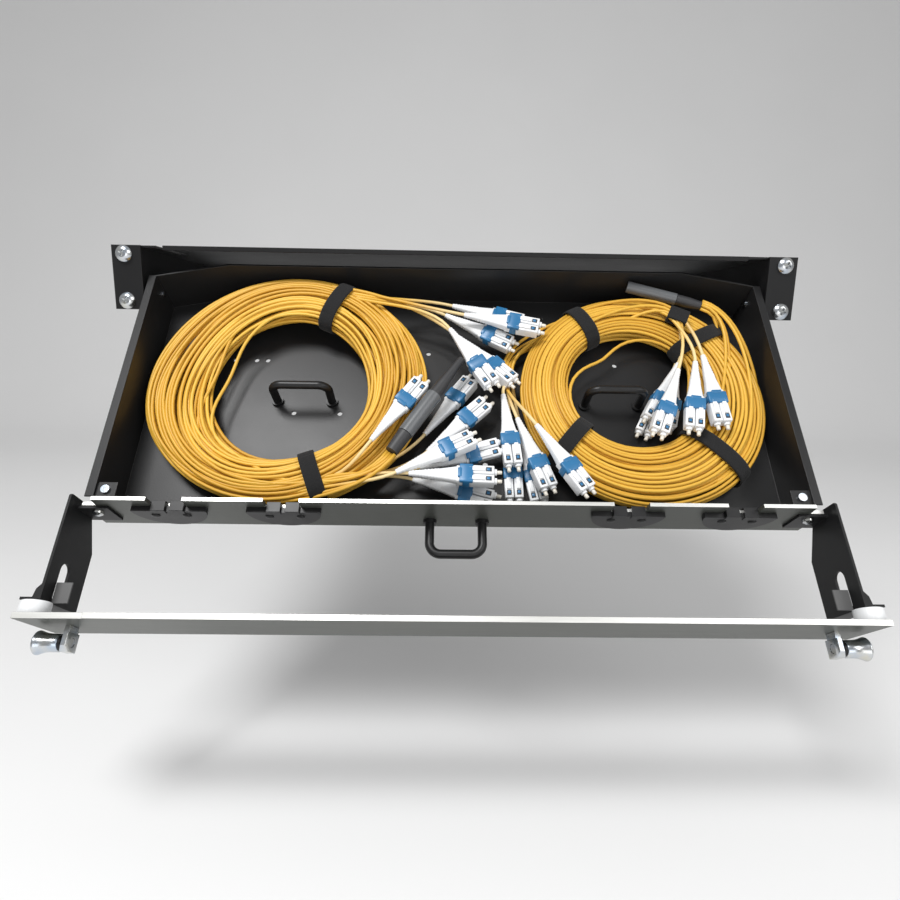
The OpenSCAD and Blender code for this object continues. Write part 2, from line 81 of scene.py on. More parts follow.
def makeCamera(settings):
    down, turn, roll = (math.radians(settings[k]) for k in ("down", "turn", "roll"))
    level = np.array([[1, 0, 0], [0, -math.sin(down), -math.cos(down)],
                      [0, math.cos(down), -math.sin(down)]])
    turned = np.array([[math.cos(turn), -math.sin(turn), 0], [math.sin(turn), math.cos(turn), 0],
                       [0, 0, 1]])
    rolled = np.array([[math.cos(roll), -math.sin(roll), 0], [math.sin(roll), math.cos(roll), 0],
                       [0, 0, 1]])
    right, below, ahead = rolled @ level @ turned.T
    data = bpy.data.cameras.new("camera")
    data.sensor_width = settings["sensor"]
    data.lens = settings["lens"]
    data.clip_start = 0.01
    camera = bpy.data.objects.new("camera", data)
    axes = Matrix(np.stack([right, -below, -ahead], axis=1).tolist())
    camera.matrix_world = Matrix.Translation(settings["place"]) @ axes.to_4x4()
    bpy.context.scene.collection.objects.link(camera)
    bpy.context.scene.camera = camera


makeCamera(cameraSettings)


class Wire:
    # a node socket whose operators add Math nodes
    def __init__(self, tree, socket):
        self.tree, self.socket = tree, socket

    def make(self, operation, other, swapped=False):
        first, second = (other, self) if swapped else (self, other)
        return addNode(self.tree, "ShaderNodeMath", {"operation": operation}, {0: first, 1: second})

    def __add__(self, other): return self.make("ADD", other)
    def __radd__(self, other): return self.make("ADD", other, True)
    def __sub__(self, other): return self.make("SUBTRACT", other)
    def __rsub__(self, other): return self.make("SUBTRACT", other, True)
    def __mul__(self, other): return self.make("MULTIPLY", other)
    def __rmul__(self, other): return self.make("MULTIPLY", other, True)


def addNode(tree, kind, settings=None, inputs=None, output=0):
    # a node with its settings made first, then the values or links of its sockets
    node = tree.nodes.new(kind)
    for key, value in (settings or {}).items():
        if key == "stops":
            ramp = node.color_ramp
            for i, (share, colour) in enumerate(value):
                stop = ramp.elements[i] if i < 2 else ramp.elements.new(share)
                stop.position, stop.color = share, (*colour, 1)
        else:
            setattr(node, key, value)
    for key, value in (inputs or {}).items():
        if isinstance(value, Wire):
            tree.links.new(value.socket, node.inputs[key])
        else:
            node.inputs[key].default_value = value
    return Wire(tree, node.outputs[output])


def newMaterial(name, colour, roughness, metallic=0.0, **sockets):
    material = bpy.data.materials.new(name)
    material.use_nodes = True
    tree = material.node_tree
    shader = tree.nodes["Principled BSDF"]
    shader.inputs["Base Color"].default_value = (*colour, 1)
    shader.inputs["Roughness"].default_value = roughness
    shader.inputs["Metallic"].default_value = metallic
    for key, value in sockets.items():
        shader.inputs[key.replace("_", " ")].default_value = value
    return material, tree, shader


def patternPlace(tree, source="Object", scale=(1, 1, 1)):
    wire = addNode(tree, "ShaderNodeTexCoord", output=source)
    return addNode(tree, "ShaderNodeMapping", inputs={"Vector": wire, "Scale": scale})


def noise(tree, where, scale, detail=3.0, rough=0.5):
    return addNode(tree, "ShaderNodeTexNoise", {}, {"Vector": where, "Scale": scale, "Detail": detail,
                                                   "Roughness": rough})


def mixColours(tree, factor, first, second):
    return addNode(tree, "ShaderNodeMix", {"data_type": "RGBA"}, {0: factor, 6: first, 7: second}, 2)


def link(wire, shader, key):
    wire.tree.links.new(wire.socket, shader.inputs[key])


def bump(tree, height, strength, distance):
    return addNode(tree, "ShaderNodeBump", {}, {"Height": height, "Strength": strength,
                                                "Distance": distance})


def powderCoat(name, colour, settings):
    # fine orange peel, faint dust and slightly worn gloss
    material, tree, shader = newMaterial(name, colour, settings["roughness"], Specular_IOR_Level=0.3)
    where = patternPlace(tree)
    peel = noise(tree, where, settings["peelScale"], 2)
    cloud = noise(tree, where, 9, 4)
    dust = noise(tree, where, 60, 5, 0.7)
    dark = tuple(c * 0.86 for c in colour) + (1,)
    light = tuple(c * 1.14 + settings["dust"] for c in colour) + (1,)
    link(mixColours(tree, cloud * 0.7 + dust * 0.3, dark, light), shader, "Base Color")
    link(settings["roughness"] + (cloud - 0.5) * 0.16 + (dust - 0.5) * 0.06, shader, "Roughness")
    link(bump(tree, peel, settings["peel"], 0.00012), shader, "Normal")
    return material


def satinAluminium(name, settings):
    # anodised sheet with fine grain along its length
    material, tree, shader = newMaterial(name, settings["colour"], settings["roughness"],
                                         settings["metallic"])
    grain = noise(tree, patternPlace(tree, "Object", (3, 260, 260)), 14, 4, 0.6)
    cloud = noise(tree, patternPlace(tree), 14, 3)
    dark = tuple(c * 0.9 for c in settings["colour"]) + (1,)
    light = tuple(min(1, c * 1.06) for c in settings["colour"]) + (1,)
    link(mixColours(tree, grain * 0.5 + cloud * 0.5, dark, light), shader, "Base Color")
    link(settings["roughness"] + (grain - 0.5) * 0.2, shader, "Roughness")
    link(bump(tree, grain, 0.12, 0.00008), shader, "Normal")
    return material


def zincPlate(name):
    # bright zinc with faint blue and straw passivation clouds
    material, tree, shader = newMaterial(name, (0.5, 0.53, 0.56), 0.24, 1.0)
    where = patternPlace(tree)
    cloud = noise(tree, where, 110, 3)
    fine = noise(tree, where, 900, 3)
    stops = [(0.3, (0.44, 0.51, 0.60)), (0.7, (0.62, 0.61, 0.55)), (0.5, (0.56, 0.58, 0.60))]
    tint = addNode(tree, "ShaderNodeValToRGB", {"stops": stops}, {"Fac": cloud})
    link(tint, shader, "Base Color")
    link(0.16 + fine * 0.12, shader, "Roughness")
    link(bump(tree, fine, 0.06, 0.00002), shader, "Normal")
    return material


def mouldedPlastic(name, colour, roughness, grain=0.25, spread=0.12, **sockets):
    material, tree, shader = newMaterial(name, colour, roughness, **sockets)
    where = patternPlace(tree)
    fine = noise(tree, where, 1600, 2)
    cloud = noise(tree, where, 45, 3)
    dark = tuple(c * (1 - spread) for c in colour) + (1,)
    light = tuple(min(1, c * (1 + spread)) for c in colour) + (1,)
    link(mixColours(tree, cloud, dark, light), shader, "Base Color")
    link(roughness + (cloud - 0.5) * 0.14, shader, "Roughness")
    link(bump(tree, fine, grain, 0.00003), shader, "Normal")
    return material


def cableJacket(name, settings):
    # a tone for each turn and legs that pale towards their ends, both kept in attributes
    material, tree, shader = newMaterial(name, settings["colour"], settings["roughness"],
                                         Specular_IOR_Level=0.35)
    tone = addNode(tree, "ShaderNodeAttribute", {"attribute_name": "tone"}, output="Fac")
    pale = addNode(tree, "ShaderNodeAttribute", {"attribute_name": "pale"}, output="Fac")
    along = patternPlace(tree, "UV", (settings["cloudsPerMetre"], 1, 1))
    cloud = noise(tree, along, 1, 2)
    body = mixColours(tree, tone * 0.75 + cloud * 0.25, (*settings["deep"], 1), (*settings["bright"], 1))
    link(mixColours(tree, pale, body, (*settings["pale"], 1)), shader, "Base Color")
    link(settings["roughness"] + (cloud - 0.5) * 0.12, shader, "Roughness")
    ripple = noise(tree, patternPlace(tree, "UV", (420, 3, 1)), 1, 2)
    link(bump(tree, ripple, 0.12, 0.00006), shader, "Normal")
    return material


def hookAndLoop(name):
    # a short black pile over a coarse weave
    material, tree, shader = newMaterial(name, (0.004, 0.004, 0.0045), 0.95, Sheen_Weight=0.06,
                                         Sheen_Roughness=0.5)
    where = patternPlace(tree)
    pile = noise(tree, where, 2600, 3, 0.7)
    weave = addNode(tree, "ShaderNodeTexVoronoi", {}, {"Vector": where, "Scale": 900})
    link(mixColours(tree, pile, (0.002, 0.002, 0.002, 1), (0.010, 0.010, 0.011, 1)), shader, "Base Color")
    link(bump(tree, pile * 0.6 + weave * 0.4, 0.9, 0.0004), shader, "Normal")
    return material


finish = {
    "blackSheet": powderCoat("blackPowderCoat", (0.006, 0.006, 0.0065),
                             {"roughness": 0.46, "peel": 0.35, "peelScale": 1300, "dust": 0.0015}),
    "traySheet": powderCoat("trayPowderCoat", (0.013, 0.013, 0.0135),
                            {"roughness": 0.36, "peel": 0.3, "peelScale": 1200, "dust": 0.002}),
    # the dark colour of the aluminium faces is their grey anodising darkened further as painted shade,
    # for faces turned down away from the lamps
    "aluminiumPaintedShade": satinAluminium("satinAluminium", {"colour": (0.085, 0.09, 0.08), "roughness": 0.4,
                                                   "metallic": 0.45}),
    # a bright colour for the faces that look up along the tray's normal: partly bare cut metal, partly
    # painted light
    "cutAluminiumPaintedLight": satinAluminium("cutAluminiumPaintedLight", {"colour": (0.78, 0.78, 0.75), "roughness": 0.34,
                                                    "metallic": 0.85}),
    "zinc": zincPlate("zincPlate"),
    "blackPlastic": mouldedPlastic("blackPlastic", (0.007, 0.007, 0.0075), 0.40, 0.4, 0.2,
                                   Specular_IOR_Level=0.4),
    "bootPlastic": mouldedPlastic("blackBoot", (0.03, 0.03, 0.032), 0.5, 0.3, 0.15),
    "whitePlastic": mouldedPlastic("whitePlastic", (0.80, 0.81, 0.82), 0.38, 0.15, 0.05),
    "bluePlastic": mouldedPlastic("bluePlastic", (0.025, 0.15, 0.32), 0.34, 0.15, 0.16),
    # a dark grey laid over the connectors' latch recesses as painted shade
    "recessPaintedShade": mouldedPlastic("recessPaintedShade", (0.03, 0.033, 0.036), 0.6, 0.2, 0.1),
    "ferrule": mouldedPlastic("ferrule", (0.70, 0.66, 0.58), 0.3, 0.1, 0.06),
    "greyTube": mouldedPlastic("greyTube", (0.11, 0.115, 0.12), 0.3, 0.12, 0.1),
    "tabGrey": powderCoat("tabCoat", (0.12, 0.12, 0.12), {"roughness": 0.45, "peel": 0.3,
                                                         "peelScale": 1300, "dust": 0.004}),
    "jacket": cableJacket("yellowJacket", {"colour": (0.76, 0.44, 0.035), "deep": (0.54, 0.27, 0.02),
                                           "bright": (0.80, 0.50, 0.075), "pale": (0.80, 0.66, 0.38),
                                           "roughness": 0.42, "cloudsPerMetre": 9}),
    "strap": hookAndLoop("hookAndLoop"),
}
print("materials made", len(finish))


def makePiece(name, points, faces, finishNames, body, faceFinish=None, smooth=True):
    # one object from points in metres, at the origin
    mesh = bpy.data.meshes.new(name)
    faces = faces if isinstance(faces, list) else faces.tolist()
    mesh.from_pydata(np.asarray(points).tolist(), [], faces)
    for finishName in finishNames:
        mesh.materials.append(finish[finishName])
    if faceFinish is not None:
        mesh.polygons.foreach_set("material_index", np.asarray(faceFinish, np.int32))
    mesh.polygons.foreach_set("use_smooth", np.full(len(mesh.polygons), smooth))
    mesh.update()
    piece = bpy.data.objects.new(name, mesh)
    bpy.context.scene.collection.objects.link(piece)
    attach(piece, body)
    return piece


def gridFaces(rows, columns, closedColumns=True, flip=False):
    # quads of a grid of points in row-major order; the columns may close on themselves
    row, column = np.meshgrid(np.arange(rows - 1), np.arange(columns if closedColumns else columns - 1),
                              indexing="ij")
    nextColumn = (column + 1) % columns
    quads = np.stack([row * columns + column, row * columns + nextColumn,
                      (row + 1) * columns + nextColumn, (row + 1) * columns + column], -1)
    quads = quads.reshape(-1, 4)
    return quads[:, ::-1] if flip else quads


def sweptTube(path, radii, sides):
    # rings around a path: each point is the path plus radius times (cos a * side + sin a * up),
    # where side and up are square to the path's direction and up leans to the tray's normal
    step = np.gradient(path, axis=0)
    step /= np.linalg.norm(step, axis=1, keepdims=True)
    normal = headings([0, 0, 1])
    side = np.cross(step, normal)
    side /= np.linalg.norm(side, axis=1, keepdims=True) + 1e-12
    up = np.cross(side, step)
    angle = np.linspace(0, 2 * np.pi, sides, endpoint=False)
    ring = np.cos(angle)[None, :, None] * side[:, None] + np.sin(angle)[None, :, None] * up[:, None]
    points = path[:, None] + np.broadcast_to(np.asarray(radii), (len(path),))[:, None, None] * ring
    faces = gridFaces(len(path), sides, flip=True).tolist()
    faces.append(list(range(sides)))
    faces.append(list(range(len(path) * sides - 1, (len(path) - 1) * sides - 1, -1)))
    return points.reshape(-1, 3), faces


def evenly(path, step):
    # the same line with its points at equal distances
    length = np.r_[0, np.cumsum(np.linalg.norm(np.diff(path, axis=0), axis=1))]
    count = max(4, int(round(length[-1] / step)) + 1)
    at = np.linspace(0, length[-1], count)
    return np.stack([np.interp(at, length, path[:, k]) for k in range(3)], -1), length[-1]


def hermite(start, startPull, end, endPull, count):
    # a cubic from start to end that leaves along startPull and arrives along endPull
    t = np.linspace(0, 1, count)[:, None]
    return ((2 * t**3 - 3 * t**2 + 1) * start + (t**3 - 2 * t**2 + t) * startPull
            + (3 * t**2 - 2 * t**3) * end + (t**3 - t**2) * endPull)


def flatHeading(degrees):
    return np.array([math.cos(math.radians(degrees)), math.sin(math.radians(degrees)), 0.0])


cableSettings = {"diameter": 2.3, "ringStep": 6.0, "sides": 8, "bundleHeight": 21.0, "floorGap": 2.0,
                 "turnSteps": 72, "patternStep": 7.3, "toneStretches": 40, "paleEnd": 0.010,
                 "paleFade": 0.035}
# each coil lies between two ovals, given as centre and half sizes; its rear is lifted
coils = {
    "left": {"outer": (-115, 79.5, 96, 88), "inner": (-113.7, 81, 52.5, 53), "lift": 8,
             "looseness": 2.6, "turns": 7, "strayEvery": 2, "straps": (-67, 72)},
    "right": {"outer": (128.5, 83, 84.5, 84), "inner": (122.5, 77, 45, 45), "lift": 0,
              "looseness": 0.7, "turns": 7, "strayEvery": 5, "straps": (-122, -41, 47, 141)},
}
bundleMid = -traySettings["floorBelowRim"] + cableSettings["floorGap"] + cableSettings["bundleHeight"] / 2

# duplex connectors: across, forward and height of the tip, then heading and roll in degrees
pile = [(62, 38, -6, 12, 4), (53, 25, -17, 16, -8), (43, 46, -17, 29, 10), (26, 88, -6, 58, 6),
        (42, 78, -17, 45, -14), (-21, 80, -5.5, -55, 8), (13, 66, -24, -54, -10), (23, 89, -17, -44, 5),
        (14, 123, -6, -27, -6), (32, 124, -17, -17, 12), (28, 151, -8, 2, -4), (28, 161, -24, 15, 14),
        (37, 143, -17, 85, 0), (38, 162, -29, 89, 5), (59.5, 159, -16, 71, -5), (82, 164, -5.5, 58, -12),
        (55, 163, -29, 80, 8)]
hanging = [(128, 107, -18, 120, -12), (129, 122, -8, 113, -6), (152, 121, -5, 101, 5),
           (172, 117, -4.6, 87, 0), (126, 112, -28, 119, 10), (142, 109, -24, 107, -8)]
connectorSettings = {"boot": 28.0, "clip": 11.0, "body": 14.0, "ferrule": 5.0}
connectorLength = sum(connectorSettings.values())

# how each group of legs winds, where it leaves its coil and where it starts
legGroups = {
    "upper": {"coil": "left", "connectors": pile[:5], "way": 1, "leave": -70, "root": (-70, 9, -7.4),
              "rootHeading": 14, "start": ("boot", (-41.5, 135.6, -6), 122), "startAngle": 50},
    "lower": {"coil": "left", "connectors": pile[5:12], "way": -1, "leave": 78, "root": (-80, 153, -13.5),
              "rootHeading": -12, "start": ("inside", None, None), "startAngle": -20},
    "inner": {"coil": "right", "connectors": pile[12:], "way": -1, "leave": 200, "root": (37, 57, -27),
              "rootHeading": 95, "start": ("inside", None, None), "startAngle": 60},
    "hung": {"coil": "right", "connectors": hanging, "way": 1, "leave": -85, "root": (156, 25, -7.2),
             "rootHeading": 60, "start": ("boot", (178, 11.6, -9), 18), "startAngle": -38},
}


def bundleSlots(coil, count, seed):
    # places in the bundle's section, in units of its half width and half height: two full
    # layers under the skin of the oval, then the rest in the middle
    halfWidth = (coil["outer"][2] - coil["inner"][2]) / 2
    halfHeight = cableSettings["bundleHeight"] / 2
    spacing = cableSettings["diameter"] * 1.06
    slots = []
    for depth in (0.0, 1.0, 2.0, 3.0):
        a = halfWidth - spacing / 2 - depth * spacing * 0.9
        b = halfHeight - spacing / 2 - depth * spacing * 0.9
        fine = np.linspace(0, 2 * np.pi, 721)
        walk = np.r_[0, np.cumsum(np.hypot(a * np.diff(np.cos(fine)), b * np.diff(np.sin(fine))))]
        number = int(walk[-1] / spacing)
        angle = np.interp((np.arange(number) + 0.5 * depth) * walk[-1] / number, walk, fine)
        slots.append(np.stack([a * np.cos(angle) / halfWidth, b * np.sin(angle) / halfHeight], -1))
    slots = np.concatenate(slots)[:count]
    angle = np.arctan2(slots[:, 1], slots[:, 0])
    radius = np.hypot(slots[:, 0], slots[:, 1])
    order = np.lexsort((angle, np.round(radius * 4)))
    random = np.random.default_rng(seed)
    return slots[order], random


def ovalPoint(oval, angle):
    return np.stack([oval[0] + oval[2] * np.cos(angle), oval[1] + oval[3] * np.sin(angle)], -1)


def coilHeight(coil, angle):
    # the middle of the bundle, lifted towards the rear by the square of the sine
    return bundleMid + coil["lift"] * np.maximum(0, -np.sin(angle)) ** 2


def coilPoint(coil, angle, across, high):
    # across runs from -1 on the inner oval to 1 on the outer one, high from -1 to 1
    outer, inner = ovalPoint(coil["outer"], angle), ovalPoint(coil["inner"], angle)
    plan = (outer + inner) / 2 + (outer - inner) / 2 * np.asarray(across)[..., None]
    level = coilHeight(coil, angle) + cableSettings["bundleHeight"] / 2 * np.asarray(high)
    return np.concatenate([plan, level[..., None]], -1)


# how a leg lies in its coil: lengths of run are in turns, section places in half widths
windSettings = {"change": (0.15, 0.75), "lead": 0.2, "easing": 0.4, "swirl": 0.16, "slowSwirl": 0.1,
                "squash": 0.6, "wander": (0.35, 0.3, 0.25), "skin": 0.95, "slipAt": (0.4, 0.9),
                "slipSpan": 0.75, "slipReach": (0.5, 1.1), "slipSink": 0.6, "leadTurn": 0.16,
                "leaveTurn": 0.13, "bootPitch": 1.9, "rootPitch": 2.1, "rootStep": 1.2, "row": 4,
                "grip": 3.0}


def sectionWalk(slots, turn, change):
    # each turn keeps its place in the section, then eases over to the next one
    begun = turn - change + windSettings["lead"]
    index = np.clip(np.floor(begun).astype(int), 0, len(slots) - 1)
    part = np.clip((begun - np.floor(begun)) / windSettings["easing"], 0, 1)
    part = np.where(begun < 0, 1, part * part * (3 - 2 * part))
    before = slots[np.clip(index - 1, 0, len(slots) - 1)]
    return before + (slots[index] - before) * part[:, None]


def loosened(coil, section, angle, turn, random):
    # a slow swirl of the whole bundle, and a little wander of this leg, kept under its skin
    settings, loose = windSettings, coil["looseness"]
    half = (coil["outer"][2] - coil["inner"][2]) / 2
    swirl = (settings["swirl"] * loose * np.sin(angle * 2 + 0.7)
             + settings["slowSwirl"] * loose * np.sin(angle + 2.0))
    across = section[:, 0] * np.cos(swirl) - section[:, 1] * np.sin(swirl) * settings["squash"]
    high = section[:, 1] * np.cos(swirl) + section[:, 0] * np.sin(swirl) * settings["squash"]
    phases = random.uniform(0, 2 * np.pi, 4)
    long, short, rise = settings["wander"]
    across = across + loose * (long * np.sin(angle * 1.5 + turn + phases[0])
                               + short * np.sin(angle * 3.5 + phases[1])) / half
    high = high + loose * (rise * np.sin(angle * 2.5 + phases[2])) / cableSettings["bundleHeight"] * 2
    squeeze = np.minimum(1, settings["skin"] / np.maximum(np.hypot(across, high), 1e-6))
    return across * squeeze, high * squeeze


def slipped(across, high, run, random):
    # one turn slips off the bundle into the coil's eye, as far as a bell curve along the run says
    settings = windSettings
    middle = random.uniform(*settings["slipAt"]) * run[-1]
    slip = np.exp(-((run - middle) / settings["slipSpan"]) ** 2)
    across = across - slip * random.uniform(*settings["slipReach"])
    return across, high * (1 - settings["slipSink"] * slip)


def heading(path, i):
    return (path[i] - path[i - 1]) / np.linalg.norm(path[i] - path[i - 1])


def fromBoot(wound, place, degrees, number):
    # the legs leave the boot in rows and join the first turn along a smooth curve
    settings = windSettings
    blend = int(cableSettings["turnSteps"] * settings["leadTurn"])
    aside = (number % settings["row"] - 1.5) * settings["bootPitch"]
    first = (np.array(place, float) + flatHeading(degrees + 90) * aside
             + np.array([0.0, 0.0, (number // settings["row"] - 1) * settings["bootPitch"]]))
    pull = np.linalg.norm(wound[blend] - first)
    lead = hermite(first, flatHeading(degrees) * pull * 0.9, wound[blend],
                   heading(wound, blend + 1) * pull, 14)
    return np.concatenate([lead[:-1], wound[blend:]])


def toConnector(wound, group, number, connector):
    # off the coil, through the root of the fan, and on to the connector's boot
    settings = windSettings
    rootWay, tailWay = flatHeading(group["rootHeading"]), flatHeading(connector[3])
    aside = flatHeading(group["rootHeading"] + 90) * (number % settings["row"] - 1.5)
    root = np.array(group["root"], float) + aside * settings["rootPitch"]
    root[2] += (number // settings["row"]) * settings["rootStep"]
    wound = wound[:-int(cableSettings["turnSteps"] * settings["leaveTurn"])]
    pull = np.linalg.norm(root - wound[-1])
    toRoot = hermite(wound[-1], heading(wound, -1) * pull, root, rootWay * pull, 12)
    tail = np.array(connector[:3], float) - tailWay * connectorLength
    reach = np.linalg.norm(tail - root)
    toTail = hermite(root, rootWay * reach, tail, tailWay * reach, 16)
    inside = tail + tailWay * settings["grip"]
    return np.concatenate([wound, toRoot[1:], toTail[1:], inside[None]])


def windLeg(group, coil, slots, random, number, connector):
    way, start = group["way"], math.radians(group["startAngle"])
    sweep = ((math.radians(group["leave"]) - start) * way % (2 * np.pi)
             + (len(slots) - 1) * 2 * np.pi)
    run = np.linspace(0, sweep, int(sweep / (2 * np.pi) * cableSettings["turnSteps"]))
    angle, turn = start + way * run, run / (2 * np.pi)
    section = sectionWalk(slots, turn, random.uniform(*windSettings["change"]))
    across, high = loosened(coil, section, angle, turn, random)
    if number % coil["strayEvery"] == 0:
        across, high = slipped(across, high, run, random)
    wound = coilPoint(coil, angle, across, high)
    kind, bootPlace, bootHeading = group["start"]
    if kind == "boot":
        wound = fromBoot(wound, bootPlace, bootHeading, number)
    return toConnector(wound, group, number, connector)


def makeLeg(name, group, coil, slots, random, number, connector):
    settings = cableSettings
    route, length = evenly(windLeg(group, coil, slots, random, number, connector), settings["ringStep"])
    path = spots(route)
    points, faces = sweptTube(path, settings["diameter"] / 2 * mm, settings["sides"])
    leg = makePiece(name, points, faces, ["jacket"], "tray")
    mesh = leg.data
    rings, sides = len(path), settings["sides"]
    along = np.repeat(np.linspace(0, length * mm, rings), sides)
    # the tone drifts along the leg, and the last few centimetres before the connector are paler
    stretches = settings["toneStretches"]
    drift = np.interp(along, np.linspace(0, length * mm, stretches), random.uniform(0, 1, stretches))
    tone = drift * 0.5 + random.uniform(0, 0.5)
    pale = np.clip(1 - (length * mm - along - settings["paleEnd"]) / settings["paleFade"], 0, 1) * 0.8
    for key, values in (("tone", tone), ("pale", pale)):
        layer = mesh.attributes.new(key, "FLOAT", "POINT")
        layer.data.foreach_set("value", values.astype(np.float32))
    uv = mesh.uv_layers.new(name="UVMap")
    corner = np.empty(len(mesh.loops), np.int32)
    mesh.loops.foreach_get("vertex_index", corner)
    around = (corner % sides) / sides
    # each leg reads its own stretch of the pattern
    place = np.stack([along[corner] + number * settings["patternStep"], around], -1)
    uv.data.foreach_set("uv", place.ravel().astype(np.float32))
    return leg


def loft(stations, columns=16):
    # a closed skin through stations [x, half width, half height, middle y, middle z, roundness]:
    # each section is |y/a|^n + |z/b|^n = 1, with n from 2, an oval, to 8, nearly a box
    stations = np.asarray(stations, float)
    angle = np.linspace(0, 2 * np.pi, columns, endpoint=False) + np.pi / columns
    c, s = np.cos(angle), np.sin(angle)
    power = 2 / stations[:, 5][:, None]
    y = stations[:, 3][:, None] + stations[:, 1][:, None] * np.sign(c) * np.abs(c) ** power
    z = stations[:, 4][:, None] + stations[:, 2][:, None] * np.sign(s) * np.abs(s) ** power
    x = np.broadcast_to(stations[:, 0][:, None], y.shape)
    points = np.stack([x, y, z], -1).reshape(-1, 3)
    faces = gridFaces(len(stations), columns, flip=False).tolist()
    faces.append(list(range(columns))[::-1])
    faces.append(list(range((len(stations) - 1) * columns, len(stations) * columns)))
    return points, faces


def blockStations(x0, x1, a, b, y=0.0, z=0.0, n=9, edge=0.35):
    # a box with rounded ends, as loft stations
    return [[x0, a - edge, b - edge, y, z, n], [x0 + edge * 0.4, a - edge * 0.3, b - edge * 0.3, y, z, n],
            [x0 + edge, a, b, y, z, n], [x1 - edge, a, b, y, z, n],
            [x1 - edge * 0.4, a - edge * 0.3, b - edge * 0.3, y, z, n], [x1, a - edge, b - edge, y, z, n]]


def connectorParts():
    # every skin of a connector in its own frame: the tip at the origin, the cable towards -X
    front = -connectorSettings["ferrule"]
    bodyBack = front - connectorSettings["body"]
    clipBack = bodyBack - connectorSettings["clip"]
    end = clipBack - connectorSettings["boot"]
    parts = []

    def block(finishName, columns, x0, x1, *section):
        parts.append((blockStations(x0, x1, *section), finishName, columns))

    for y in (-3.15, 3.15):
        block("whitePlastic", 16, bodyBack - 1, front, 2.9, 3.9, y, -0.2)
        # a thin dark block on the body over the latch's recess: painted shade
        block("recessPaintedShade", 12, front - 5.2, front - 1.6, 1.5, 0.4, y, 3.5, 8, 0.2)
        block("bluePlastic", 12, front - 4.6, front - 2.6, 0.9, 0.5, y, 3.6, 8, 0.2)
        block("whitePlastic", 12, bodyBack - 2, front - 5.6, 1.4, 0.5, y, 4.2, 6)
        parts.append(([[front - 0.5, 2.1, 2.1, y, 0, 2.2], [front + 1.6, 2.05, 2.05, y, 0, 2.2],
                       [front + 1.8, 1.9, 1.9, y, 0, 2.2]], "whitePlastic", 16))
        parts.append(([[front + 1.0, 1.25, 1.25, y, 0, 2], [-0.4, 1.25, 1.25, y, 0, 2],
                       [0, 0.95, 0.95, y, 0, 2]], "ferrule", 14))
    block("whitePlastic", 20, clipBack + 1.5, bodyBack + 0.6, 5.7, 3.6, 0, 0, 7)
    block("bluePlastic", 20, bodyBack - 7.5, bodyBack + 0.8, 6.3, 1.5, 0, 3.2, 8, 0.4)
    block("bluePlastic", 20, bodyBack - 5.5, bodyBack - 1.2, 6.45, 4.3, 0, 0.1, 8, 0.4)
    block("bluePlastic", 14, bodyBack - 8.6, bodyBack - 6.0, 3.2, 0.7, 0, 4.2, 6, 0.3)
    # the boot flares from the cable to the body, with a rib every two millimetres
    x = np.linspace(end, clipBack + 2.2, 46)
    share = (x - end) / (x[-1] - end)
    rib = 0.28 * (np.sin((x - end) * np.pi) > 0.2) * (share < 0.62) * (share > 0.04)
    wide = 1.7 + 3.6 * share ** 1.5 + rib
    tall = 1.7 + 1.7 * share ** 1.2 + rib
    parts.append((np.stack([x, wide, tall, 0 * x, 0 * x, 2 + 3 * share], -1), "whitePlastic", 18))
    return parts


connectorFinish = ["whitePlastic", "bluePlastic", "recessPaintedShade", "ferrule"]


def joinedParts():
    # all the skins as one set of points, faces and a finish for each face
    allPoints, allFaces, allFinish, offset = [], [], [], 0
    for stations, finishName, columns in connectorParts():
        points, faces = loft(stations, columns)
        allPoints.append(points)
        allFaces += [[index + offset for index in face] for face in faces]
        allFinish += [connectorFinish.index(finishName)] * len(faces)
        offset += len(points)
    return np.concatenate(allPoints), allFaces, allFinish


connectorPoints, connectorFaces, connectorFaceFinish = joinedParts()


def makeConnector(name, connector):
    across, forward, high, degrees, roll = connector
    local = connectorPoints
    r, a = math.radians(roll), math.radians(degrees)
    y = local[:, 1] * math.cos(r) - local[:, 2] * math.sin(r)
    z = local[:, 1] * math.sin(r) + local[:, 2] * math.cos(r)
    # q runs forward, which turns the local left side over: keep the outside out
    placed = np.stack([across + local[:, 0] * math.cos(a) + y * math.sin(a),
                       forward + local[:, 0] * math.sin(a) - y * math.cos(a), high + z], -1)
    return makePiece(name, spots(placed), connectorFaces, connectorFinish, "tray", connectorFaceFinish)


def makeCables():
    pieces = {"legs": [], "pile": [], "hanging": []}
    for key, coil in coils.items():
        groups = [g for g in legGroups if legGroups[g]["coil"] == key]
        total = sum(len(legGroups[g]["connectors"]) for g in groups)
        slots, random = bundleSlots(coil, total * coil["turns"], 11 if key == "left" else 23)
        number = 0
        for groupName in groups:
            group = legGroups[groupName]
            for i, connector in enumerate(group["connectors"]):
                connectorPiece = makeConnector(f"connector-{groupName}-{i + 1}", connector)
                pieces["hanging" if groupName == "hung" else "pile"].append(connectorPiece)
                mine = slots[number * coil["turns"]:(number + 1) * coil["turns"]]
                leg = makeLeg(f"leg-{groupName}-{i + 1}", group, coil, mine, random, number if groupName
                              not in ("lower", "inner") else i, connector)
                pieces["legs"].append((key, leg))
                number += 1
        print("coil wound", key, total, "legs")
    return pieces


cables = makeCables()
for key, leg in cables["legs"]:
    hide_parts("coil_" + key, "fanout_legs")
for piece in cables["pile"]:
    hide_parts("connectors_pile")
for piece in cables["hanging"]:
    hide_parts("connectors_hanging")


strapSettings = {"width": 10.5, "slack": 0.7, "thick": 0.9, "around": 96, "along": 15, "overlap": 0.9}


